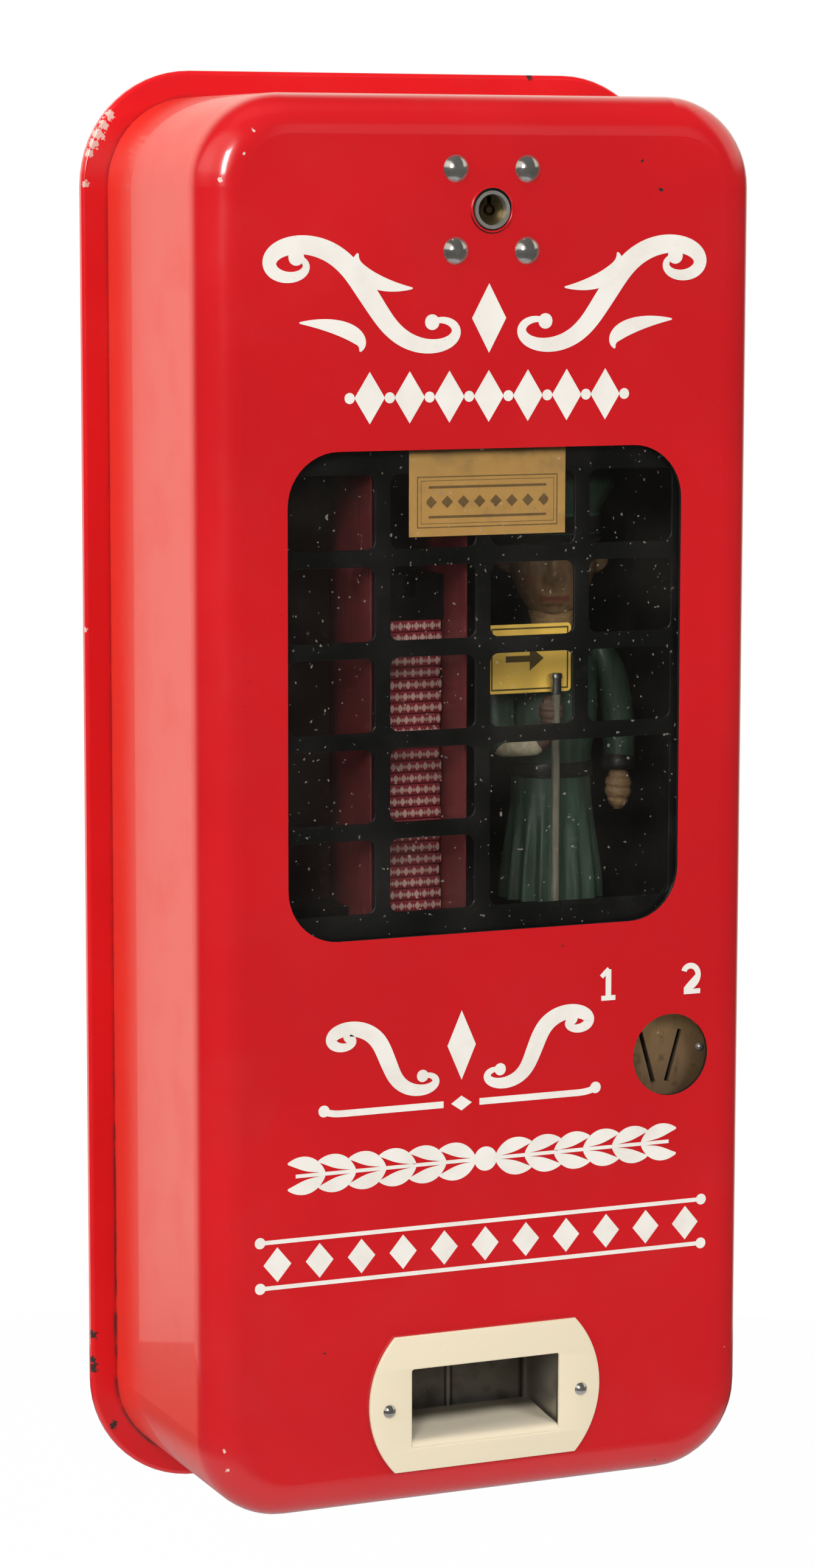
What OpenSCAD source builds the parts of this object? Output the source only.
// Wall-hung clockwork gum vending machine: an enamelled case hinged on a back plate, with two gum
// magazines, a turning figure and the spring motor that drives them. +X is right as seen from the
// front, +Y goes into the wall and +Z is up. The origin is the middle of the wall screws on the wall.

/* [Case] */
// Outer width of the case
case_w = 212; // [206:1:232]
// Outer height of the case
case_h = 501; // [496:1:530]
// Depth of the case from its front face to its rear rim
case_d = 97; // [95:1:110]
// Thickness of the enamelled sheet
case_wall = 1.6; // [1:0.1:2.2]
// Rounding of the front edges
case_edge_r = 14; // [8:0.5:18]
// Radius of the four corners as seen from the front
case_corner_r = 32; // [26:1:40]
// Gap between the case's rim and the back plate
rim_gap = 0.3; // [0.2:0.1:1]

/* [Back plate] */
// How far the back plate stands out beyond the case all round
plate_lip = 9.5; // [9:0.5:14]
// Thickness of the back plate
plate_t = 3; // [2:0.5:5]
// Rounding of the back plate's front edge
plate_edge_r = 1.5; // [0.5:0.1:1.8]
// Distance between wall screws across
wall_screw_dx = 120; // [90:5:135]
// Distance between wall screws up and down
wall_screw_dz = 410; // [395:5:420]
// Radius of a wall screw hole
wall_screw_r = 3.25; // [2:0.25:4]
// Radius of the hole in the mechanism plate that lets a screwdriver reach a wall screw
access_r = 8; // [6:0.5:10]

/* [Window] */
// Width of the case's front on each side of the window opening
window_margin = 30.5; // [28:0.5:33]
// Height of the window opening
window_h = 171; // [165:1:176]
// Corner radius of the window opening
window_r = 19; // [10:1:24]
// Height of the window's centre
window_z = 42.75; // [36:0.25:48]
// How far glass and grille reach behind the case round the window
glass_lap = 7; // [5:0.5:9]
// Thickness of the glass
glass_t = 3; // [2:0.5:3.5]
// Thickness of the grille's sheet
grille_t = 1.2; // [0.8:0.1:1.6]
// Width of a bar of the grille
grille_bar = 6; // [4:0.5:8]
// Width of the paper label
label_w = 60; // [40:1:70]
// Height of the paper label that shows below the window's top edge
label_h = 30.5; // [20:0.5:36]
// Width of a clip that holds the glass
clip_w = 12; // [8:0.5:16]

/* [Lock] */
// Distance of the lock to the right of the middle
lock_x = 1; // [-6:0.5:6]
// Distance of the lock below the top of the case
lock_drop = 39.7; // [38:0.1:44]
// Radius of the lock barrel
lock_r = 6.6; // [6:0.1:8]
// Wall of the lock barrel
lock_wall = 1.2; // [0.9:0.1:1.8]
// Depth of the plug's face behind the front of the case
plug_recess = 2.5; // [1:0.1:4]
// Distance between lock rivets across
lock_rivet_dx = 27.2; // [26:0.2:30]
// Distance between lock rivets up and down
lock_rivet_dz = 28.2; // [26:0.2:31]
// Radius of a lock rivet's domed head
lock_head_r = 4.8; // [4:0.1:5.4]
// Length of the lock's cam
lock_cam_l = 14; // [12:0.5:16]

/* [Coin entry] */
// Distance of the coin entry from the right side of the case
coin_inset = 32.6; // [30:0.2:34]
// Height of the coin entry
coin_z = -92.9; // [-95:0.1:-91]
// Radius of the coin hole in the case
coin_hole_r = 15; // [13:0.5:17]
// Depth of the coin plate behind the front face
coin_plate_deep = 8.5; // [6:0.5:10]
// Length of a coin slot, a little over the coin's diameter
coin_slot_l = 19.6; // [18:0.2:20.4]
// Width of a coin slot, a little over the coin's thickness
coin_slot_w = 1.7; // [1.6:0.1:2.2]
// Tilt of each slot from upright
coin_slot_tilt = 16; // [12:1:17]
// Distance between the slots at mid height
coin_slot_dx = 10.6; // [10.4:0.2:13]

/* [Outlet] */
// Overall width of the outlet plate
outlet_w = 90.6; // [88:0.2:98]
// Height of the outlet plate
outlet_h = 49.8; // [46:0.2:54]
// Width of its straight top and bottom edges
outlet_flat_w = 71; // [66:1:76]
// Thickness of the outlet plate
outlet_t = 1.6; // [1:0.1:2.2]
// Height of the outlet plate's centre above the bottom of the case
outlet_rise = 38.8; // [36.5:0.1:41.5]
// Width of the mouth
mouth_w = 57.9; // [52:0.1:60]
// Height of the mouth
mouth_h = 26.2; // [22:0.2:29]
// Distance between the outlet screws
outlet_screw_dx = 75.4; // [74:0.2:80]
// Radius of an outlet screw's domed head
outlet_head_r = 2.5; // [2:0.1:3.4]
// Length of the lip that leads inwards from the mouth
lip_l = 26; // [20:0.5:27]

/* [Gum] */
// Width of a gum tab, across the machine
tab_w = 31; // [28:0.5:31]
// Depth of a gum tab, front to back
tab_d = 19; // [17:0.5:20]
// Thickness of a gum tab with its wrapper
tab_t = 4.2; // [3.6:0.1:4.6]
// Tabs in the right magazine above the one on its pusher
tab_count = 28; // [4:1:29]
// Play of a tab in its magazine on each side
tab_play = 1; // [0.6:0.1:1.2]
// Thickness of the sheet for magazines and chutes
sheet_t = 0.8; // [0.5:0.1:1]
// Height of a magazine
magazine_h = 192; // [188:1:196]
// Height of a follower weight
follower_h = 16; // [10:1:16]
// Travel of a pusher
pusher_travel = 12.5; // [10:0.5:13]

/* [Motor] */
// Module of the gear teeth
gear_m = 0.8; // [0.76:0.01:0.81]
// Teeth of the great wheel on the spring barrel
great_teeth = 60; // [56:1:61]
// Teeth of the pinion on the figure's spindle
pinion_teeth = 15; // [14:1:16]
// Teeth of the wheel on the figure's spindle
spindle_teeth = 48; // [44:1:50]
// Teeth of the governor's pinion
governor_teeth = 16; // [14:1:18]
// Thickness of the motor's plates
motor_plate_t = 2; // [1.5:0.1:2.4]
// Distance between the motor's plates
motor_gap = 64; // [62:0.5:66]
// Radius of a motor pillar
pillar_r = 3; // [2:0.1:3.2]
// Radius of the figure's spindle
spindle_r = 2.5; // [2:0.1:2.8]
// Radius of the winding arbor
winding_r = 3.5; // [3:0.1:4]
// Radius of the governor's arbor
governor_arbor_r = 1.5; // [1:0.1:2]
// Height of the spring barrel
barrel_h = 23; // [20:0.5:24]
// Radius of the governor's fan
fan_r = 14; // [10:0.5:14.5]
// Span of the winding key's wings
key_span = 22; // [16:0.5:22.6]
// Running clearance of an arbor in its bore
running_fit = 0.05; // [0.03:0.01:0.08]

/* [Figure] */
// Distance of the figure's spindle from the right side of the case
figure_inset = 59; // [58:0.5:60]
// Height of the figure, from its turntable to the top of its cap
figure_h = 170; // [155:1:174]
// Radius of the turntable
turntable_r = 30; // [26:0.5:32]
// Radius of the figure's chest
chest_r = 17; // [15:0.5:17.5]
// Width of the sign board
sign_w = 33; // [26:0.5:33.5]
// Height of the sign board
sign_h = 25; // [18:0.5:28]

/* [Hidden] */
$fn = 64;

enamel_red = "#c42026";
cream = "#ece0c4";
black_paint = "#1c1c1e";
nickel = "#b9b9b6";
steel = "#8d9094";
brass = "#9a8148";
zinc = "#8f8d86";
wrapper_red = "#9e2630";
dark_red = "#4a1a1c";
coat_green = "#20402c";

// Gap between stacked pieces, gap between pieces that pass each other, and overrun of a cut
hair = 0.15;
pass = 0.4;
cut = 1;
far = 400;

// Main planes, front to back
front_y = -(plate_t + rim_gap + case_d);
inner_y = front_y + case_wall;
standoff_l = 3.4;
mech_t = 1.6;
mech_rear_y = -(plate_t + standoff_l);
mech_y = mech_rear_y - mech_t;

// Case, back plate and mechanism plate
plate_w = case_w + 2 * plate_lip;
plate_h = case_h + 2 * plate_lip;
case_bottom = -case_h / 2;
figure_x = case_w / 2 - figure_inset;
coin_x = case_w / 2 - coin_inset;
lock_z = case_h / 2 - lock_drop;
outlet_z = case_bottom + outlet_rise;
mech_room = 6.4;
mech_w = case_w - 2 * (case_wall + mech_room);
mech_top = 142;
mech_bottom = case_bottom + case_wall + mech_room;
mech_r = 20;
standoff_r = 5;
standoff_x = mech_w / 2 - 13;
standoff_zs = [-175, mech_top - 22];

// Glass, grille and label behind the front
window_w = case_w - 2 * window_margin;
glass_w = window_w + 2 * glass_lap;
glass_h = window_h + 2 * glass_lap;
glass_y = inner_y;
glass_back_y = glass_y + glass_t;
label_t = 0.25;
label_play = 0.05;
label_x = 1.4;
label_y = glass_back_y + label_play;
grille_y = label_y + label_t + label_play;
grille_back_y = grille_y + grille_t;
grille_cols = 4;
grille_rows = 5;
grille_side = 1.1;
grille_end = 5.5;
grille_dx = (window_w + 2 * grille_side) / grille_cols;
grille_dz = (window_h - 2 * grille_end) / grille_rows;
grille_r = 3.2;
clip_t = 1.2;
clip_reach = 4;
clip_foot = 8;
clip_dz = 60;

// Outlet
outlet_bulge = (outlet_w - outlet_flat_w) / 2;
outlet_end_r = (outlet_h * outlet_h / 4 + outlet_bulge * outlet_bulge) / (2 * outlet_bulge);
mouth_z = outlet_z - 0.6;
mouth_r = 1.2;
mouth_bottom = mouth_z - mouth_h / 2;
outlet_screw_z = outlet_z - 1.8;
outlet_shank_r = 1.5;
outlet_nut_r = 3;
outlet_nut_t = 2;
lip_t = 1.4;
lip_rise = 3;
lip_half = mouth_w / 2 - 0.5;

// Heights and depths of the shelf, the magazines and what stands in them
shelf_z = -55.8;
shelf_t = 1.5;
flange_h = 12;
tab_set = 44;
tab_back_y = mech_y - tab_set;
tab_front_y = tab_back_y - tab_d;
shelf_front_y = tab_front_y;
magazine_w = tab_w + 2 * tab_play + 2 * sheet_t;
magazine_back_y = tab_back_y + 2 * hair;
magazine_front_y = grille_back_y + 4.8;
magazine_gap = 1.8;
magazine_right_edge = -3.6;
right_x = magazine_right_edge - magazine_w / 2;
left_x = right_x - magazine_w - magazine_gap;
shelf_left = left_x - magazine_w / 2 - 1.9;
shelf_right = magazine_right_edge + 1.6;
floor_z = shelf_z + 0.2;
stack_z = floor_z + tab_t;
stack_top_z = stack_z + tab_count * tab_t;

// Pushers, drive bar and its rods
pusher_w = tab_w - 3;
pusher_t = tab_t - 4 * hair;
pusher_l = 32;
pusher_y = tab_back_y + 0.2;
pusher_slot_h = tab_t + 0.6;
hook_w = 6;
hook_t = 2;
hook_set = 25;
hook_y = mech_y - hook_set;
bar_set = 33;
bar_y = mech_y - bar_set;
bar_d = 6;
bar_h = 8;
bar_top_z = shelf_z - shelf_t - 4.7;
bar_z = bar_top_z - bar_h;
hook_z = bar_top_z + 1.2;
rod_r = 2;
rod_z = bar_z + bar_h / 2;
rod_l = 48;

// Motor: plates, arbors and levels
motor_reach = 41;
motor_x0 = figure_x - motor_reach;
motor_x1 = mech_w / 2;
motor_deep = 54;
motor_front_y = mech_y - motor_deep;
motor_z = -142;
motor_low_in = motor_z + motor_plate_t;
motor_high_in = motor_low_in + motor_gap;
motor_top_z = motor_high_in + motor_plate_t;
pillar_inset = 4.5;
spindle_set = 44;
spindle_y = mech_y - spindle_set;
mesh_play = 0.1;
barrel_dist = gear_m * (great_teeth + pinion_teeth) / 2 + mesh_play;
barrel_dir = 30;
barrel_x = figure_x + barrel_dist * cos(barrel_dir);
barrel_y = spindle_y + barrel_dist * sin(barrel_dir);
governor_dist = gear_m * (spindle_teeth + governor_teeth) / 2 + mesh_play;
governor_dir = 160;
governor_x = figure_x + governor_dist * cos(governor_dir);
governor_y = spindle_y + governor_dist * sin(governor_dir);
arbor_end = 2;
barrel_z = motor_low_in + 4;
barrel_wall = 1.2;
barrel_r = gear_m * great_teeth / 2 - 3;
great_t = 2.5;
great_z = barrel_z + barrel_h;
pinion_z = great_z - 3;
pinion_h = 9;
wheel_t = 2.5;
spindle_wheel_z = motor_low_in + 42;
governor_pinion_h = 8.5;
governor_pinion_z = spindle_wheel_z - (governor_pinion_h - wheel_t) / 2;
fan_z = motor_low_in + 5;
fan_h = 23;
fan_t = 1;
fan_hub_r = 3;
ratchet_z = motor_top_z + 2;
ratchet_t = 2.5;
ratchet_r = 10;
ratchet_teeth = 20;
ratchet_tooth = 1.6;
click_dir = 60;
click_dist = ratchet_r + 8;
click_r = 2;
square_w = 4.6;
key_z = ratchet_z + ratchet_t + 1.2;
key_h = 12.8;
key_t = 2.4;
key_hub_r = 4.4;
key_hub_h = 9;
key_wing_z = 4;

// Cam, turntable and figure on the spindle
cam_z = motor_top_z + 6;
cam_t = 4.8;
cam_r = 12;
cam_throw = 6;
turntable_z = key_z + key_h + 3.5;
turntable_t = 3;
turntable_hub_r = 5;
stand_z = turntable_z + turntable_t;
peg_h = 26;
boot_r = 7;
boot_h = 7;
boot_dx = 7.5;
boot_reach = 4;
coat_z = stand_z + figure_h * 0.055;
coat_h = figure_h * 0.56;
shoulder_z = coat_z + coat_h;
skirt_r = 20;
waist_r = 15;
shoulder_r = 8;
neck_r = 8;
neck_h = 6.5;
head_r = 17;
head_z = shoulder_z + neck_h + head_r;
cap_z = head_z + head_r * 0.82;
face_turn = 22;
cap_top_z = stand_z + figure_h;
cap_flare = 6;
peak_r = 14;
peak_t = 1.6;
arm_r = 7;
staff_r = 1.5;
staff_set = 8;
staff_x = figure_x - staff_set;
staff_y = spindle_y - chest_r - 4;
wrist_z = stand_z + figure_h * 0.393;
fist_r = 4.6;
fist_h = 6;
hand_drop = 19.3;
sign_t = 1.4;
sign_set = 17.8;
sign_drop = 17.5;
sign_lap = 7;
sign_x = figure_x - sign_set;
sign_z = shoulder_z - sign_drop;
staff_top_z = sign_z + sign_lap;
fist_z = sign_z - fist_r - fist_h - hair;

// Follower of the cam, on the drive bar
roller_r = 3;
roller_y = spindle_y - cam_r - cam_throw - pass - roller_r;
finger_t = 1.6;
finger_d = 7;
arm_x = 17;
arm_w = 6;

// Delivery chute as seen from the front
chute_front_y = inner_y + 2.4;
chute_back_y = shelf_front_y + 1.5;
chute_half = mouth_w / 2 + 1.5;
chute_top = shelf_z - shelf_t - 0.7;
chute_bottom = mouth_bottom - 11;
chute_left = shelf_left - 0.5;
chute_right = shelf_right + 4;
left_slope_top = -110;
left_slope_end = -165;
right_slope_top = -148;
right_slope_end = -175;

// Coin plate, channels, levers and box
coin_plate_y = front_y + coin_plate_deep;
coin_plate_t = 1.2;
coin_plate_w = 44;
coin_plate_h = 40;
coin_back_y = coin_plate_y + coin_plate_t;
coin_plate_r = 4;
coin_rivet_r = 1.5;
coin_rivet_rise = 5.9;
coin_pin_r = 1.4;
coin_pin_set = 1.1;
coin_run_w = coin_slot_w + 0.5;
coin_run_l = coin_slot_l + 0.9;
coin_run_back_y = coin_back_y + 24.6;
coin_run_drop = 11;
coin_slot_z = coin_z - 2.2;
bracket_t = 1.5;
bracket_half = 14;
lever_y = motor_front_y - 4;
lever_z = motor_low_in + 8;
lever_pin_r = 1.5;
lever_hub_r = 4;
lever_t = 5;
lever_gap = 7.8;
lever_reach = 18;
lever_lift = 10;
lever_bar = 3;
tail_drop = 22;
tail_back = 16;
weight_r = 4.5;
box_x0 = chute_half + sheet_t + 8.7;
box_side = 13;
box_x1 = mech_w / 2 - box_side;
box_front_y = inner_y + 12.7;
box_back_y = mech_y - bracket_t - 1;
box_shelf_rise = 6.5;
box_shelf_z = mech_bottom + box_shelf_rise;
box_z = box_shelf_z + bracket_t;
box_room = 19;
lever_low_z = lever_z - tail_drop - lever_bar - weight_r;
box_h = lever_low_z - box_room - box_z;
box_wall = 1;
box_lip = 9;

// Lock behind the case front
lock_flange_t = 2;
lock_margin = 6.4;
lock_case_w = lock_rivet_dx + 2 * lock_margin;
lock_case_h = lock_rivet_dz + 2 * lock_margin;
lock_box_half = lock_r + 1.6;
lock_back_y = inner_y + 11.9;
lock_hole_gap = 0.6;
lock_roll_r = 0.5;
plug_r = lock_r - lock_wall - running_fit;
plug_well = 5;
drill_pin_r = 1.1;
key_slot_w = 1.6;
cam_tail_r = 3;
lock_cam_y = lock_back_y + 3;
lock_cam_t = 2;
lock_cam_w = 8;
keeper_t = 1.6;
keeper_half = 10;
keeper_y = lock_back_y + 0.7;
keeper_z = lock_z + lock_cam_l + 2.2;
keeper_drop = 8;
keeper_foot = 20;
rivet_shank_r = 2.4;
rivet_rise = 0.6;

// Bottom hinge
knuckle_r = 2.6;
knuckle_gap = 0.4;
hinge_pin_r = 1.3;
hinge_y = -(plate_t + knuckle_r + 0.3);
hinge_z = case_bottom - knuckle_r - 0.3;
hinge_w = 100;
knuckles = 5;
knuckle_w = hinge_w / knuckles;
leaf_t = 1.2;
leaf_l = 17;
leaf_foot = 0.5;

// Stays and the screws that hold flanges to the mechanism plate
stay_t = 1.6;
stay_foot = 10;
stay_w = 16;
magazine_stay_drop = 16;
chute_stay_rise = 8;
screw_head_r = 3;
screw_head_t = 1.6;
screw_inset = 12;

// Rectangle with round corners, centred
module round_rect(w, h, r) {
  square([w - 2 * r, h], center = true);
  square([w, h - 2 * r], center = true);
  for (sx = [-1, 1], sy = [-1, 1])
    translate([sx * (w / 2 - r), sy * (h / 2 - r)]) circle(r);
}

// Stands an outline drawn as seen from the front upright, from depth y0 back to depth y1
module upright(y0, y1) {
  translate([0, y1, 0]) rotate([90, 0, 0]) linear_extrude(y1 - y0) children();
}

// Section of a block w wide and d deep, its two front edges rounded
module front_rounded(w, d, e) {
  translate([-w / 2, 0]) square([w, d - e]);
  translate([e - w / 2, 0]) square([w - 2 * e, d]);
  for (side = [-1, 1]) translate([side * (w / 2 - e), d - e]) circle(e);
}

// Block with round corners and a rounded front edge, from depth y_front back to y_rear
module drawn_block(w, h, r, e, y_front, y_rear) {
  d = y_rear - y_front;
  translate([0, y_rear, r - h / 2]) rotate([0, 0, 180]) linear_extrude(h - 2 * r) front_rounded(w, d, e);
  translate([r - w / 2, y_rear, 0]) rotate([0, 90, 0]) rotate([0, 0, 180])
    linear_extrude(w - 2 * r) front_rounded(h, d, e);
  for (sx = [-1, 1], sz = [-1, 1])
    translate([sx * (w / 2 - r), y_rear, sz * (h / 2 - r)]) rotate([90, 0, 0]) rotate_extrude() intersection() {
      front_rounded(2 * r, d, e);
      square([r, d]);
    }
}

// Round bar front to back, across, and upright
module bar_fb(x, z, r, y0, y1) {
  translate([x, y1, z]) rotate([90, 0, 0]) cylinder(r = r, h = y1 - y0);
}

module bar_lr(y, z, r, x0, x1) {
  translate([x0, y, z]) rotate([0, 90, 0]) cylinder(r = r, h = x1 - x0);
}

module post(x, y, r, z0, z1) {
  translate([x, y, z0]) cylinder(r = r, h = z1 - z0);
}

// Box given by two opposite corners
module span(a, b) {
  translate(a) cube(b - a);
}

// Domed head on a face at depth y, towards the viewer
module dome_head(x, z, r, rise, y) {
  ball = (r * r + rise * rise) / (2 * rise);
  translate([x, y, z]) rotate([90, 0, 0]) rotate_extrude() intersection() {
    translate([0, rise - ball]) circle(ball);
    square([r, rise]);
  }
}

// Involute spur gear with short, slightly thinned teeth; a tooth lies on the outline's +X axis
pressure = 20;
backlash = 0.14;
root_k = -1.1;
tip_k = 0.8;
function involute(a) = tan(a) * 180 / PI - a;
function tooth_half(teeth, r) =
  let (pitch_r = gear_m * teeth / 2, base_r = pitch_r * cos(pressure))
  90 / teeth - backlash / pitch_r * 90 / PI + involute(pressure) - involute(acos(base_r / max(r, base_r)));

module gear(teeth) {
  radii = [for (k = [root_k, -0.3, 0.25, tip_k]) gear_m * (teeth / 2 + k)];
  steps = len(radii);
  polygon([for (i = [0 : teeth - 1], k = [0 : 2 * steps - 1])
    let (rising = k < steps, r = radii[rising ? k : 2 * steps - 1 - k])
    let (a = 360 * i / teeth + (rising ? -1 : 1) * tooth_half(teeth, r))
    [r * cos(a), r * sin(a)]]);
}

module at_wall_screws() {
  for (sx = [-1, 1], sz = [-1, 1])
    translate([sx * wall_screw_dx / 2, 0, sz * wall_screw_dz / 2]) children();
}

module at_lock_rivets() {
  for (sx = [-1, 1], sz = [-1, 1])
    translate([lock_x + sx * lock_rivet_dx / 2, 0, lock_z + sz * lock_rivet_dz / 2]) children();
}

module at_outlet_screws() {
  for (side = [-1, 1]) translate([side * outlet_screw_dx / 2, 0, outlet_screw_z]) children();
}

// Enamelled plate that screws to the wall
module back_plate() {
  color(enamel_red) difference() {
    drawn_block(plate_w, plate_h, case_corner_r + plate_lip, plate_edge_r, -plate_t, 0);
    at_wall_screws() bar_fb(0, 0, wall_screw_r, -plate_t - cut, cut);
  }
}

// Black plate that carries the magazines and the motor
module mechanism_plate() {
  color(black_paint) difference() {
    translate([0, 0, (mech_top + mech_bottom) / 2])
      upright(mech_y, mech_rear_y) round_rect(mech_w, mech_top - mech_bottom, mech_r);
    at_wall_screws() bar_fb(0, 0, access_r, mech_y - cut, mech_rear_y + cut);
  }
}

module plate_standoffs() {
  color(steel) for (side = [-1, 1], z = standoff_zs)
    bar_fb(side * standoff_x, z, standoff_r, mech_rear_y, -plate_t);
}

// Every second knuckle of the hinge, from the one named first
function knuckle_x(i) = -hinge_w / 2 + i * knuckle_w;

module knuckle_row(first) {
  for (i = [first : 2 : knuckles - 1])
    bar_lr(hinge_y, hinge_z, knuckle_r, knuckle_x(i) + knuckle_gap / 2, knuckle_x(i + 1) - knuckle_gap / 2);
}

// Leaf on the back plate, with the hinge pin fixed in its knuckles
module hinge_plate_leaf() {
  leaf_front = -plate_t - leaf_t;
  foot = -plate_h / 2 + leaf_foot;
  color(nickel) {
    knuckle_row(0);
    bar_lr(hinge_y, hinge_z, hinge_pin_r, -hinge_w / 2 + knuckle_gap, hinge_w / 2 - knuckle_gap);
    span([-hinge_w / 2, leaf_front, foot], [hinge_w / 2, -plate_t, hinge_z - knuckle_r - pass]);
    for (i = [0 : 2 : knuckles - 1])
      span([knuckle_x(i) + knuckle_gap / 2, leaf_front, foot], [knuckle_x(i + 1) - knuckle_gap / 2, -plate_t, hinge_z]);
  }
}

// Leaf under the case, turning on the pin
module hinge_case_leaf() {
  leaf_y = hinge_y - knuckle_r - leaf_l;
  leaf_z = case_bottom - leaf_t;
  color(nickel) difference() {
    union() {
      knuckle_row(1);
      span([-hinge_w / 2, leaf_y, leaf_z], [hinge_w / 2, hinge_y - knuckle_r - pass, case_bottom]);
      for (i = [1 : 2 : knuckles - 1])
        span([knuckle_x(i) + knuckle_gap / 2, leaf_y, leaf_z], [knuckle_x(i + 1) - knuckle_gap / 2, hinge_y, case_bottom]);
    }
    bar_lr(hinge_y, hinge_z, hinge_pin_r + running_fit, -hinge_w, hinge_w);
  }
}

// Strap from the back plate with a tongue that the lock's cam catches
module lock_keeper() {
  x0 = lock_x - keeper_half;
  x1 = lock_x + keeper_half;
  color(steel) {
    span([x0, keeper_y, keeper_z], [x1, -plate_t, keeper_z + keeper_t]);
    span([x0, keeper_y, keeper_z - keeper_drop], [x1, keeper_y + keeper_t, keeper_z + keeper_t]);
    span([x0, -plate_t - keeper_t, keeper_z - keeper_foot], [x1, -plate_t, keeper_z + keeper_t]);
  }
}

// Shelf under both magazines, slotted for the pushers' hooks
module magazine_shelf() {
  color(zinc) difference() {
    union() {
      span([shelf_left, shelf_front_y, shelf_z - shelf_t], [shelf_right, mech_y, shelf_z]);
      span([shelf_left, mech_y - shelf_t, shelf_z - shelf_t], [shelf_right, mech_y, shelf_z + flange_h]);
    }
    for (x = [left_x, right_x])
      span([x - hook_w / 2 - cut, hook_y - pusher_travel - 2 * cut, shelf_z - shelf_t - cut],
           [x + hook_w / 2 + cut, hook_y + hook_t + 2 * cut, shelf_z + cut]);
  }
}

// Open-fronted sheet channel for a stack of tabs, with a gap for its pusher at the foot
module magazine(x) {
  half = magazine_w / 2;
  color(dark_red) difference() {
    span([x - half, magazine_front_y, shelf_z], [x + half, magazine_back_y + sheet_t, shelf_z + magazine_h]);
    span([x - half + sheet_t, magazine_front_y - cut, shelf_z - cut],
         [x + half - sheet_t, magazine_back_y, shelf_z + magazine_h + cut]);
    span([x - pusher_w / 2 - cut, magazine_back_y - cut, shelf_z - cut],
         [x + pusher_w / 2 + cut, magazine_back_y + sheet_t + cut, shelf_z + pusher_slot_h]);
  }
}

module left_magazine() { magazine(left_x); }

module right_magazine() { magazine(right_x); }

module gum_tab(x, z) {
  color(wrapper_red) span([x - tab_w / 2, tab_front_y, z], [x + tab_w / 2, tab_back_y, z + tab_t - hair]);
}

module gum_tabs() {
  for (i = [0 : tab_count - 1]) gum_tab(right_x, stack_z + i * tab_t);
}

module left_bottom_tab() { gum_tab(left_x, floor_z); }

module right_bottom_tab() { gum_tab(right_x, floor_z); }

// Outline of the chute as seen from the front, grown by g
module chute_outline(g) {
  polygon([[chute_left - g, chute_top], [chute_left - g, left_slope_top - g / 2],
           [-chute_half - g, left_slope_end - g / 2], [-chute_half - g, chute_bottom],
           [chute_half + g, chute_bottom], [chute_half + g, right_slope_end + g],
           [chute_right + g, right_slope_top + g], [chute_right + g, chute_top]]);
}

// Sheet funnel that leads a tab from the shelf's edge down to the outlet, open in front
module delivery_chute() {
  color(zinc) difference() {
    upright(chute_front_y, chute_back_y) chute_outline(sheet_t);
    upright(chute_front_y - cut, chute_back_y - sheet_t) {
      chute_outline(0);
      translate([-chute_half, chute_bottom - cut]) square([2 * chute_half, 2 * cut]);
      translate([chute_left, chute_top - cut]) square([chute_right - chute_left, 2 * cut]);
    }
  }
}

// Stay from a sheet piece back to the mechanism plate, with a foot at each end
module stay(x, z, y_front) {
  x0 = x - stay_w / 2;
  x1 = x + stay_w / 2;
  span([x0, y_front, z], [x1, mech_y, z + stay_t]);
  span([x0, y_front, z], [x1, y_front + stay_t, z + stay_foot]);
  span([x0, mech_y - stay_t, z], [x1, mech_y, z + stay_foot]);
}

// Bent-sheet brackets: stays, shelf under the coin box, holder of the coin plate, bearing of the levers
module brackets() {
  coin_x0 = coin_x - bracket_half;
  coin_x1 = coin_x + bracket_half;
  box_lip_y = box_front_y - hair - bracket_t;
  color(zinc) {
    for (x = [left_x, right_x]) stay(x, shelf_z + magazine_h - magazine_stay_drop, magazine_back_y + sheet_t);
    stay(0, outlet_z + chute_stay_rise, chute_back_y);
    span([box_x0, box_lip_y, box_shelf_z], [box_x1, mech_y, box_z]);
    span([box_x0, box_lip_y, box_shelf_z], [box_x1, box_lip_y + bracket_t, box_z + box_lip]);
    span([box_x0, mech_y - bracket_t, box_shelf_z], [box_x1, mech_y, box_z + stay_foot]);
    span([coin_x0, coin_back_y, motor_top_z], [coin_x1, motor_front_y + stay_foot, motor_top_z + bracket_t]);
    span([coin_x0, coin_back_y, coin_z + coin_plate_h / 2 - 9],
         [coin_x1, coin_back_y + bracket_t, motor_top_z + bracket_t]);
    difference() {
      union() {
        span([coin_x0, motor_front_y, motor_low_in], [coin_x1, motor_front_y + pillar_inset, motor_low_in + bracket_t]);
        for (x = [coin_x0, coin_x1 - bracket_t])
          span([x, lever_y - lever_hub_r, motor_low_in], [x + bracket_t, motor_front_y + pillar_inset, lever_z + lever_hub_r]);
      }
      bar_lr(lever_y, lever_z, lever_pin_r, coin_x0 - cut, coin_x1 + cut);
    }
  }
}

// Places of the two coin slots, each turned to its tilt
module at_slots() {
  for (side = [-1, 1])
    translate([coin_x + side * coin_slot_dx / 2, 0, coin_slot_z]) rotate([0, side * coin_slot_tilt, 0]) children();
}

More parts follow.
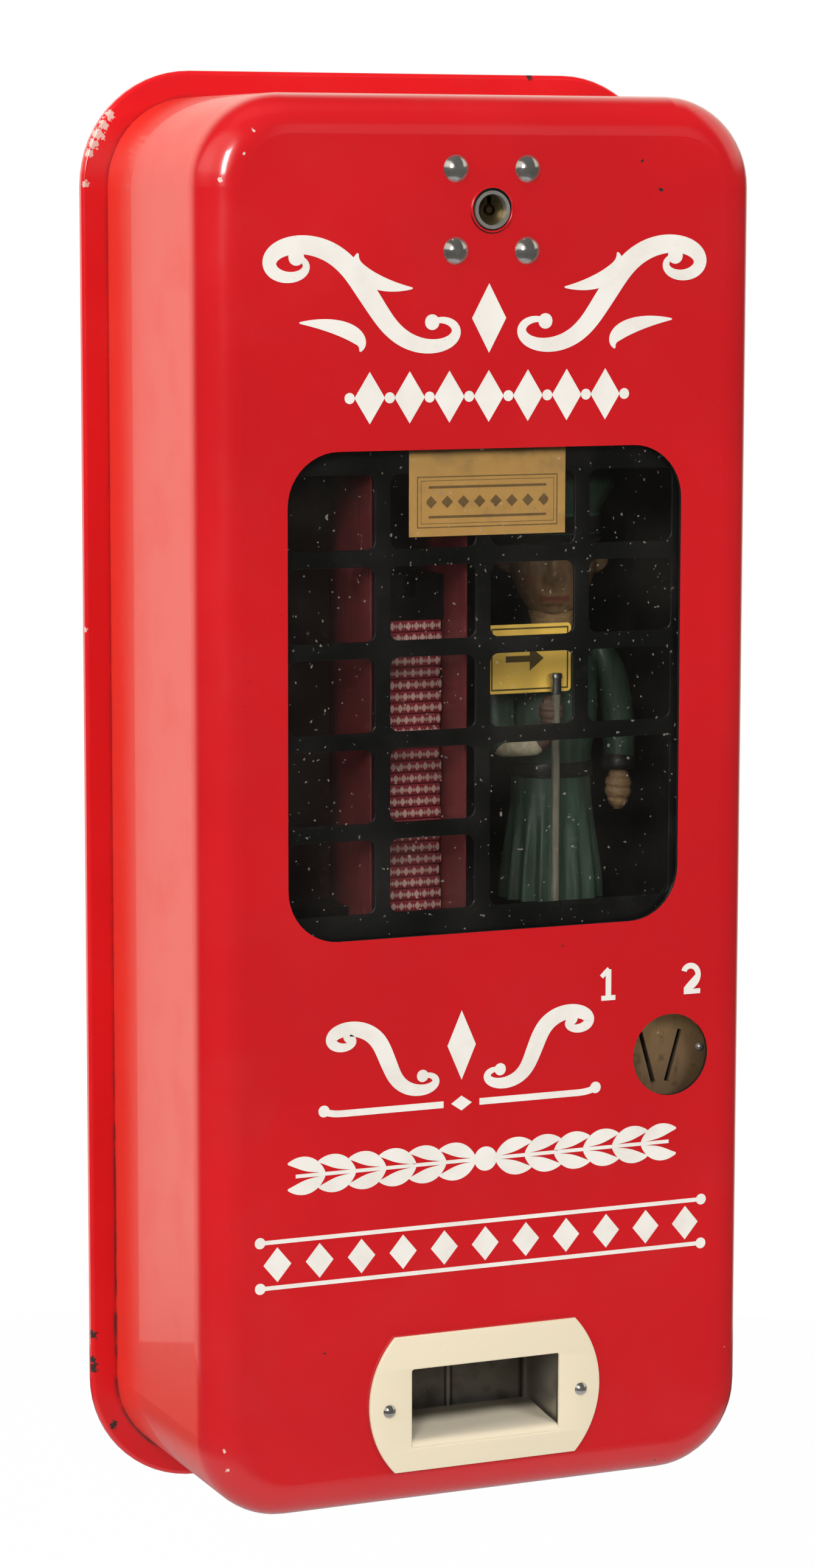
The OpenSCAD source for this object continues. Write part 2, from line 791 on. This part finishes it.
// Brass plate behind the coin hole, with a flush rivet and a small pin
module coin_plate() {
  color(brass) {
    difference() {
      translate([coin_x, 0, coin_z]) upright(coin_plate_y, coin_back_y)
        round_rect(coin_plate_w, coin_plate_h, coin_plate_r);
      at_slots() span([-coin_slot_w / 2, coin_plate_y - cut, -coin_slot_l / 2],
                      [coin_slot_w / 2, coin_back_y + cut, coin_slot_l / 2]);
    }
    dome_head(coin_x + hair, coin_z + coin_rivet_rise, coin_rivet_r, coin_rivet_r / 3, coin_plate_y);
    dome_head(coin_x + coin_hole_r + coin_pin_set, coin_z + hair, coin_pin_r, coin_pin_r, coin_plate_y);
  }
}

// Flat channel behind each slot, open below at its rear end so that the coin drops
module coin_chutes() {
  w = coin_run_w / 2;
  l = coin_run_l / 2;
  color(zinc) at_slots() difference() {
    span([-w - sheet_t, coin_back_y, -l - sheet_t], [w + sheet_t, coin_run_back_y, l + sheet_t]);
    span([-w, coin_back_y - cut, -l], [w, coin_run_back_y - sheet_t, l]);
    span([-w, coin_back_y + coin_run_drop, -l - sheet_t - cut], [w, coin_run_back_y - sheet_t, 0]);
  }
}

// Arbors that run between the motor's plates, as [x, y, radius]
arbors = [[figure_x, spindle_y, spindle_r], [governor_x, governor_y, governor_arbor_r],
          [barrel_x, barrel_y, winding_r]];

// Plate of the motor from height z up, with a rear flange that reaches to flange_z
module motor_plate(z, flange_z) {
  color(steel) difference() {
    union() {
      span([motor_x0, motor_front_y, z], [motor_x1, mech_y, z + motor_plate_t]);
      span([motor_x0, mech_y - motor_plate_t, min(z, flange_z)], [motor_x1, mech_y, max(z + motor_plate_t, flange_z)]);
    }
    for (a = arbors) post(a[0], a[1], a[2] + running_fit, z - cut, z + motor_plate_t + cut);
  }
}

module motor_lower_plate() { motor_plate(motor_z, motor_z - flange_h); }

module motor_upper_plate() { motor_plate(motor_high_in, motor_top_z + flange_h); }

module motor_pillars() {
  color(brass) for (x = [motor_x0 + pillar_inset, motor_x1 - pillar_inset],
                    y = [motor_front_y + pillar_inset, mech_y - motor_plate_t - pillar_inset])
    post(x, y, pillar_r, motor_low_in, motor_high_in);
}

// Pawl on its post beside the ratchet wheel, its tip just clear of the teeth
module ratchet_click() {
  x = barrel_x + click_dist * cos(click_dir);
  y = barrel_y + click_dist * sin(click_dir);
  reach = click_dist - ratchet_r - pass;
  color(steel) {
    post(x, y, click_r, motor_top_z, ratchet_z + ratchet_t);
    translate([x, y, ratchet_z]) rotate([0, 0, click_dir + 180]) linear_extrude(ratchet_t) {
      circle(1.6 * click_r);
      polygon([[0, 1.4 * click_r], [0, -1.4 * click_r], [reach, -click_r / 2], [reach, 0]]);
    }
  }
}

module lever_pin() {
  color(nickel) bar_lr(lever_y, lever_z, lever_pin_r, coin_x - bracket_half, coin_x + bracket_half);
}

module guide_rods() {
  color(steel) for (x = [left_x, right_x]) bar_fb(x, rod_z, rod_r, mech_y - rod_l, mech_y);
}

// Screw heads on the flanges that meet the mechanism plate, as [x, z, flange thickness]
module frame_screws() {
  x0 = motor_x0 + screw_inset;
  x1 = motor_x1 - screw_inset;
  places = [[x0, motor_z - flange_h / 2, motor_plate_t], [x1, motor_z - flange_h / 2, motor_plate_t],
            [x0, motor_top_z + flange_h / 2, motor_plate_t], [x1, motor_top_z + flange_h / 2, motor_plate_t],
            [left_x, shelf_z + flange_h / 2, shelf_t], [right_x, shelf_z + flange_h / 2, shelf_t]];
  color(nickel) for (p = places) bar_fb(p[0], p[1], screw_head_r, mech_y - p[2] - screw_head_t, mech_y - p[2]);
}

// Deep-drawn case; the sheet is rolled outwards round the lock's hole
module front_case() {
  hole_r = lock_r + lock_hole_gap;
  color(enamel_red) {
    difference() {
      drawn_block(case_w, case_h, case_corner_r, case_edge_r, front_y, front_y + case_d);
      drawn_block(case_w - 2 * case_wall, case_h - 2 * case_wall, case_corner_r - case_wall,
                  case_edge_r - case_wall, inner_y, cut);
      translate([0, 0, window_z]) upright(front_y - cut, inner_y + cut) round_rect(window_w, window_h, window_r);
      bar_fb(lock_x, lock_z, hole_r, front_y - cut, inner_y + cut);
      at_lock_rivets() bar_fb(0, 0, rivet_shank_r, front_y - cut, inner_y + cut);
      bar_fb(coin_x, coin_z, coin_hole_r, front_y - cut, inner_y + cut);
      translate([0, 0, mouth_z]) upright(front_y - cut, inner_y + cut)
        round_rect(mouth_w + 2 * lip_t, mouth_h + 2 * lip_t, mouth_r + lip_t);
      at_outlet_screws() bar_fb(0, 0, outlet_shank_r, front_y - cut, inner_y + cut);
    }
    translate([lock_x, front_y, lock_z]) rotate([90, 0, 0]) rotate_extrude() intersection() {
      translate([hole_r + lock_roll_r, 0]) circle(lock_roll_r);
      translate([hole_r, -lock_roll_r / 2]) square(2 * lock_roll_r);
    }
  }
}

module window_glass() {
  color("#d8e4e4", 0.4) translate([0, 0, window_z]) upright(glass_y, glass_back_y)
    round_rect(glass_w, glass_h, window_r);
}

// Openings of the grille; the four at the lower right are one large opening
module grille_cells() {
  cell_w = grille_dx - grille_bar;
  cell_h = grille_dz - grille_bar;
  for (c = [0 : grille_cols - 1], r = [0 : grille_rows - 1])
    translate([(c - (grille_cols - 1) / 2) * grille_dx, (r - (grille_rows - 1) / 2) * grille_dz])
      if (c < grille_cols / 2 || r > 1) round_rect(cell_w, cell_h, grille_r);
  translate([grille_dx, -1.5 * grille_dz]) round_rect(cell_w + grille_dx, cell_h + grille_dz, grille_r);
}

module window_grille() {
  color(black_paint) translate([0, 0, window_z]) upright(grille_y, grille_back_y) difference() {
    round_rect(glass_w, glass_h, window_r);
    grille_cells();
  }
}

module paper_label() {
  top = window_z + window_h / 2;
  color("#c9a765") span([label_x - label_w / 2, label_y, top - label_h],
                        [label_x + label_w / 2, label_y + label_t, top + glass_lap]);
}

// Bent clips on the inside of the case that hold the glass and the grille
module glass_clips() {
  color(steel) for (side = [0, 1], dz = [-clip_dz, clip_dz]) mirror([side, 0, 0])
    translate([glass_w / 2 + 2 * hair, 0, window_z + dz - clip_w / 2]) {
      span([0, inner_y, 0], [clip_t, grille_back_y + clip_t, clip_w]);
      span([-clip_reach, grille_back_y, 0], [clip_t, grille_back_y + clip_t, clip_w]);
      span([0, inner_y, 0], [clip_foot, inner_y + clip_t, clip_w]);
    }
}

// Cream plate with bowed ends, and the lip that leads inwards from the foot of its mouth
module outlet_plate() {
  centre = outlet_w / 2 - outlet_end_r;
  color(cream) {
    difference() {
      translate([0, 0, outlet_z]) upright(front_y - outlet_t, front_y) intersection() {
        square([outlet_w, outlet_h], center = true);
        union() for (side = [-1, 1]) translate([side * centre, 0]) circle(outlet_end_r);
      }
      translate([0, 0, mouth_z]) upright(front_y - outlet_t - cut, front_y + cut) round_rect(mouth_w, mouth_h, mouth_r);
      at_outlet_screws() bar_fb(0, 0, outlet_shank_r, front_y - outlet_t - cut, front_y + cut);
    }
    translate([-lip_half, 0, 0]) rotate([90, 0, 90]) linear_extrude(2 * lip_half)
      polygon([[front_y - outlet_t, mouth_bottom - lip_t], [front_y - outlet_t, mouth_bottom],
               [front_y + lip_l, mouth_bottom + lip_rise], [front_y + lip_l, mouth_bottom + lip_rise - lip_t],
               [inner_y, mouth_bottom - lip_t]]);
  }
}

module outlet_screws() {
  face = front_y - outlet_t;
  color(nickel) at_outlet_screws() {
    dome_head(0, 0, outlet_head_r, outlet_head_r * rivet_rise, face);
    bar_fb(0, 0, outlet_shank_r, face, inner_y + outlet_nut_t + cut);
    bar_fb(0, 0, outlet_nut_r, inner_y, inner_y + outlet_nut_t);
  }
}

// Lock's housing: a flange on the inside of the case and a block round the barrel
module lock_case() {
  half = lock_box_half;
  color(steel) difference() {
    union() {
      translate([lock_x, 0, lock_z]) upright(inner_y, inner_y + lock_flange_t)
        round_rect(lock_case_w, lock_case_h, lock_margin);
      span([lock_x - half, inner_y, lock_z - half], [lock_x + half, lock_back_y, lock_z + half]);
    }
    bar_fb(lock_x, lock_z, lock_r, inner_y - cut, lock_back_y + cut);
    at_lock_rivets() bar_fb(0, 0, rivet_shank_r, inner_y - cut, inner_y + lock_flange_t + cut);
  }
}

module lock_barrel() {
  color(nickel) difference() {
    bar_fb(lock_x, lock_z, lock_r, front_y - 0.6, lock_back_y);
    bar_fb(lock_x, lock_z, lock_r - lock_wall, front_y - cut, lock_back_y + cut);
  }
}

module lock_rivets() {
  tail = 2;
  color(nickel) at_lock_rivets() {
    dome_head(0, 0, lock_head_r, lock_head_r * rivet_rise, front_y);
    bar_fb(0, 0, rivet_shank_r, front_y, inner_y + lock_flange_t + tail);
    bar_fb(0, 0, 1.5 * rivet_shank_r, inner_y + lock_flange_t, inner_y + lock_flange_t + tail);
  }
}

// Turning plug: recessed face with a keyway and a drill pin, tail for the cam
module lock_plug() {
  face = front_y + plug_recess;
  color(brass) {
    difference() {
      bar_fb(lock_x, lock_z, plug_r, face, lock_back_y);
      bar_fb(lock_x, lock_z, 2 * drill_pin_r, face - cut, face + plug_well);
      span([lock_x - key_slot_w / 2, face - cut, lock_z],
           [lock_x + key_slot_w / 2, face + plug_well, lock_z + plug_r - lock_wall / 2]);
    }
    bar_fb(lock_x, lock_z, drill_pin_r, face, face + plug_well + cut);
    bar_fb(lock_x, lock_z, cam_tail_r, lock_back_y - cut, lock_cam_y + lock_cam_t + cut);
  }
}

module lock_cam() {
  y1 = lock_cam_y + lock_cam_t;
  color(steel) difference() {
    union() {
      bar_fb(lock_x, lock_z, lock_cam_w / 2 + cut, lock_cam_y, y1);
      span([lock_x, lock_cam_y, lock_z - lock_cam_w / 2], [lock_x + lock_cam_l, y1, lock_z + lock_cam_w / 2]);
    }
    bar_fb(lock_x, lock_z, cam_tail_r, lock_cam_y - cut, y1 + cut);
  }
}

// Drum that holds the mainspring, open at the top where the great wheel covers it
module spring_barrel() {
  color(brass) difference() {
    post(barrel_x, barrel_y, barrel_r, barrel_z, great_z);
    post(barrel_x, barrel_y, barrel_r - barrel_wall, barrel_z + barrel_wall, great_z + cut);
    post(barrel_x, barrel_y, winding_r + running_fit, barrel_z - cut, barrel_z + barrel_wall + cut);
  }
}

spring_turns = 6;
spring_steps = 24;
spring_strip = 0.7;
spring_h = barrel_h - 4 * barrel_wall;

// Flat spiral strip, hooked to the inside of the drum
module mainspring() {
  r0 = winding_r + 1;
  r1 = barrel_r - barrel_wall - hair;
  n = spring_turns * spring_steps;
  inner = [for (i = [0 : n]) r0 + (r1 - spring_strip - r0) * i / n];
  ray = [for (i = [0 : n]) [cos(360 * i / spring_steps), sin(360 * i / spring_steps)]];
  color("#5a6a86") translate([barrel_x, barrel_y, barrel_z + barrel_wall]) linear_extrude(spring_h)
    polygon(concat([for (i = [0 : n]) (inner[i] + spring_strip) * ray[i]],
                   [for (i = [n : -1 : 0]) inner[i] * ray[i]]));
}

module great_wheel() {
  color(brass) translate([barrel_x, barrel_y, great_z]) linear_extrude(great_t) difference() {
    rotate(barrel_dir + 180) gear(great_teeth);
    circle(winding_r + running_fit);
  }
}

module winding_arbor() {
  color(steel) {
    post(barrel_x, barrel_y, winding_r, motor_z - arbor_end, ratchet_z + ratchet_t);
    translate([barrel_x, barrel_y, ratchet_z + ratchet_t]) linear_extrude(key_z - ratchet_z - ratchet_t + key_hub_h)
      square(square_w, center = true);
  }
}

module ratchet_wheel() {
  color(steel) translate([barrel_x, barrel_y, ratchet_z]) linear_extrude(ratchet_t) difference() {
    polygon([for (i = [0 : ratchet_teeth - 1], k = [0, 1])
      let (a = 360 * (i + k * 0.1) / ratchet_teeth, r = ratchet_r - k * ratchet_tooth) [r * cos(a), r * sin(a)]]);
    circle(winding_r);
  }
}

module winding_key() {
  color(nickel) difference() {
    union() {
      post(barrel_x, barrel_y, key_hub_r, key_z, key_z + key_hub_h);
      span([barrel_x - key_span / 2, barrel_y - key_t / 2, key_z + key_wing_z],
           [barrel_x + key_span / 2, barrel_y + key_t / 2, key_z + key_h]);
    }
    translate([barrel_x, barrel_y, key_z - cut]) linear_extrude(key_hub_h + cut) square(square_w, center = true);
  }
}

// Spindle of the figure, with its pinion cut on it
module figure_spindle() {
  color(steel) {
    post(figure_x, spindle_y, spindle_r, motor_z - arbor_end, stand_z + peg_h);
    translate([figure_x, spindle_y, pinion_z]) rotate(barrel_dir + 180 / pinion_teeth)
      linear_extrude(pinion_h) gear(pinion_teeth);
  }
}

module spindle_wheel() {
  color(brass) translate([figure_x, spindle_y, spindle_wheel_z]) linear_extrude(wheel_t) difference() {
    rotate(governor_dir) gear(spindle_teeth);
    circle(spindle_r);
  }
}

// Round cam set off centre on the spindle
module drive_cam() {
  color(steel) difference() {
    post(figure_x, spindle_y + cam_throw, cam_r, cam_z, cam_z + cam_t);
    post(figure_x, spindle_y, spindle_r, cam_z - cut, cam_z + cam_t + cut);
  }
}

module turntable() {
  color(black_paint) difference() {
    union() {
      post(figure_x, spindle_y, turntable_r, turntable_z, stand_z);
      post(figure_x, spindle_y, turntable_hub_r, cam_z + cam_t, stand_z);
    }
    post(figure_x, spindle_y, spindle_r, cam_z, stand_z + cut);
  }
}

// Outline of the long coat from the spindle's axis outwards
module coat_profile(h) {
  waist = h * 0.48;
  belt = 4;
  polygon([[0, 0], [skirt_r, 0], [waist_r, waist], [waist_r, waist + belt], [chest_r, h * 0.75],
           [chest_r, h - shoulder_r], [chest_r - shoulder_r, h], [0, h]]);
  translate([chest_r - shoulder_r, h - shoulder_r]) circle(shoulder_r);
}

// Long coat over a pair of boots
module figure_coat() {
  color(coat_green) difference() {
    union() {
      translate([figure_x, spindle_y, coat_z]) rotate_extrude() coat_profile(coat_h);
      for (side = [-1, 1]) {
        post(figure_x + side * boot_dx, spindle_y, boot_r, stand_z, coat_z + cut);
        post(figure_x + side * boot_dx, spindle_y - boot_reach, boot_r, stand_z, stand_z + boot_h);
      }
    }
    post(figure_x, spindle_y, spindle_r, stand_z - cut, stand_z + peg_h);
  }
}

// Head with a peaked cap
module figure_head() {
  h = cap_top_z - cap_z;
  reach = head_r - peak_r / 2;
  color("#b98b5c") {
    difference() {
      union() {
        translate([figure_x, spindle_y, head_z]) sphere(head_r);
        post(figure_x, spindle_y, head_r, head_z, cap_z);
        post(figure_x, spindle_y, neck_r, shoulder_z, head_z);
      }
      span([figure_x - far, spindle_y - far, cap_z], [figure_x + far, spindle_y + far, cap_z + far]);
      span([figure_x - far, spindle_y - far, shoulder_z - far], [figure_x + far, spindle_y + far, shoulder_z]);
    }
    translate([figure_x, spindle_y, cap_z]) rotate_extrude()
      polygon([[0, 0], [head_r, 0], [head_r, h * 0.4], [head_r + cap_flare, h * 0.7], [head_r, h], [0, h]]);
    post(figure_x - reach * sin(face_turn), spindle_y - reach * cos(face_turn), peak_r, cap_z, cap_z + peak_t);
  }
}

// Limb from one point to another: a round bar with round ends, turned in one piece
module limb(a, b, r) {
  d = b - a;
  l = norm(d);
  translate(a) rotate([0, acos(d[2] / l), atan2(d[1], d[0])]) rotate_extrude() intersection() {
    union() {
      circle(r);
      translate([0, l]) circle(r);
      square([r, l]);
    }
    translate([0, -r]) square([r, l + 2 * r]);
  }
}

// One arm bent to the staff, its fist round it, and the other down at the side, both just clear of the coat
module figure_arms() {
  out = chest_r + arm_r + hair;
  fore_r = arm_r / 2;
  left = [figure_x - out, spindle_y - 1, shoulder_z - 10];
  elbow = [figure_x - out + 1, spindle_y - arm_r, wrist_z - 1];
  wrist = [staff_x - fist_r, staff_y + 2, wrist_z];
  fist = [staff_x - staff_r / 2, staff_y + 1, fist_z];
  right = [figure_x + out, spindle_y - 1, shoulder_z - 10];
  hand = [figure_x + out + 1, spindle_y - 5, wrist_z - hand_drop];
  color(coat_green) {
    difference() {
      union() {
        limb(left, elbow, arm_r);
        limb(elbow, wrist, fore_r);
        limb(wrist, fist, fore_r);
        limb(fist, fist + [0, 0, fist_h], fist_r);
      }
      post(staff_x, staff_y, staff_r, stand_z, staff_top_z + cut);
    }
    limb(right, hand, arm_r - 0.6);
  }
}

module sign_staff() {
  color("#8a8478") post(staff_x, staff_y, staff_r, stand_z, staff_top_z);
}

module sign_board() {
  y0 = staff_y + staff_r;
  color("#c9971f") span([sign_x - sign_w / 2, y0, sign_z], [sign_x + sign_w / 2, y0 + sign_t, sign_z + sign_h]);
}

// Arbor of the air governor, with its pinion cut on it
module governor_arbor() {
  color(steel) {
    post(governor_x, governor_y, governor_arbor_r, motor_z - arbor_end, motor_top_z + arbor_end);
    translate([governor_x, governor_y, governor_pinion_z]) rotate(governor_dir + 180 + 180 / governor_teeth)
      linear_extrude(governor_pinion_h) gear(governor_teeth);
  }
}

module governor_fan() {
  color(brass) difference() {
    union() {
      post(governor_x, governor_y, fan_hub_r, fan_z, fan_z + fan_h);
      span([governor_x - fan_r, governor_y - fan_t / 2, fan_z], [governor_x + fan_r, governor_y + fan_t / 2, fan_z + fan_h]);
    }
    post(governor_x, governor_y, governor_arbor_r, fan_z - cut, fan_z + fan_h + cut);
  }
}

// Cross bar on its two rods, with the arm and the follower that the cam pushes forward
module drive_bar() {
  y0 = bar_y - bar_d / 2;
  y1 = bar_y + bar_d / 2;
  finger_y = roller_y - finger_d + roller_r;
  color(steel) difference() {
    union() {
      span([left_x - magazine_w / 2 + hook_w / 2, y0, bar_z], [arm_x + arm_w / 2, y1, bar_top_z]);
      span([arm_x - arm_w / 2, finger_y, bar_z], [arm_x + arm_w / 2, y1, bar_z + bar_h / 2]);
      span([arm_x - arm_w / 2, finger_y, bar_z], [figure_x + roller_r, finger_y + finger_d, bar_z + finger_t]);
      post(figure_x, roller_y, roller_r, bar_z, cam_z + cam_t);
    }
    for (x = [left_x, right_x]) bar_fb(x, rod_z, rod_r + running_fit, y0 - cut, y1 + cut);
  }
}

// Flat slide under a stack, with a hook that hangs down behind the drive bar
module pusher(x) {
  color(steel) {
    span([x - pusher_w / 2, pusher_y, floor_z], [x + pusher_w / 2, pusher_y + pusher_l, floor_z + pusher_t]);
    span([x - hook_w / 2, hook_y, hook_z], [x + hook_w / 2, hook_y + hook_t, floor_z + pusher_t]);
  }
}

module left_pusher() { pusher(left_x); }

module right_pusher() { pusher(right_x); }

// Weight that presses a stack down, with a finger notch in its front
module follower(x, z) {
  notch_r = follower_h / 3;
  half = tab_w / 2 + tab_play / 2;
  color(black_paint) difference() {
    span([x - half, tab_front_y, z], [x + half, tab_back_y, z + follower_h]);
    post(x, tab_front_y, notch_r, z + follower_h / 2, z + follower_h + cut);
  }
}

module left_follower() { follower(left_x, floor_z + tab_t); }

module right_follower() { follower(right_x, stack_top_z); }

// Side outline of a coin lever round its pin: arm to the front, tail that passes below the motor
module lever_outline() {
  foot = -tail_drop - lever_bar;
  difference() {
    union() {
      circle(lever_hub_r);
      polygon([[-lever_hub_r, 0], [0, lever_hub_r], [-lever_reach, lever_lift + lever_bar], [-lever_reach, lever_lift]]);
      polygon([[-lever_hub_r, 0], [0, -lever_hub_r / 2], [-lever_bar / 2, foot], [-lever_hub_r, foot]]);
      translate([-lever_hub_r, foot]) square([tail_back + lever_hub_r, lever_bar]);
      translate([tail_back, foot]) circle(weight_r);
    }
    circle(lever_pin_r + running_fit);
  }
}

module coin_lever(side) {
  x = coin_x + side * lever_gap / 2;
  hub_out = coin_x + side * (bracket_half - bracket_t - pass);
  hub_in = coin_x + side * pass / 2;
  color(brass) {
    translate([x - lever_t / 2, lever_y, lever_z]) rotate([90, 0, 90]) linear_extrude(lever_t) lever_outline();
    difference() {
      bar_lr(lever_y, lever_z, lever_hub_r, min(hub_in, hub_out), max(hub_in, hub_out));
      bar_lr(lever_y, lever_z, lever_pin_r + running_fit, coin_x - bracket_half, coin_x + bracket_half);
    }
  }
}

module left_coin_lever() { coin_lever(-1); }

module right_coin_lever() { coin_lever(1); }

// Open box that catches the coins; it lifts over the lip of its shelf
module coin_box() {
  color(zinc) difference() {
    span([box_x0, box_front_y, box_z], [box_x1, box_back_y, box_z + box_h]);
    span([box_x0 + box_wall, box_front_y + box_wall, box_z + box_wall],
         [box_x1 - box_wall, box_back_y - box_wall, box_z + box_h + cut]);
  }
}

back_plate();
mechanism_plate();
plate_standoffs();
hinge_plate_leaf();
lock_keeper();
magazine_shelf();
left_magazine();
right_magazine();
gum_tabs();
delivery_chute();
brackets();
coin_plate();
coin_chutes();
motor_lower_plate();
motor_upper_plate();
motor_pillars();
ratchet_click();
lever_pin();
guide_rods();
frame_screws();
front_case();
window_glass();
window_grille();
paper_label();
glass_clips();
outlet_plate();
outlet_screws();
lock_case();
lock_barrel();
lock_rivets();
hinge_case_leaf();
lock_plug();
lock_cam();
spring_barrel();
mainspring();
great_wheel();
winding_arbor();
ratchet_wheel();
winding_key();
figure_spindle();
spindle_wheel();
drive_cam();
turntable();
figure_coat();
figure_head();
figure_arms();
sign_staff();
sign_board();
governor_arbor();
governor_fan();
drive_bar();
left_pusher();
left_bottom_tab();
right_pusher();
right_bottom_tab();
left_follower();
right_follower();
left_coin_lever();
right_coin_lever();
coin_box();
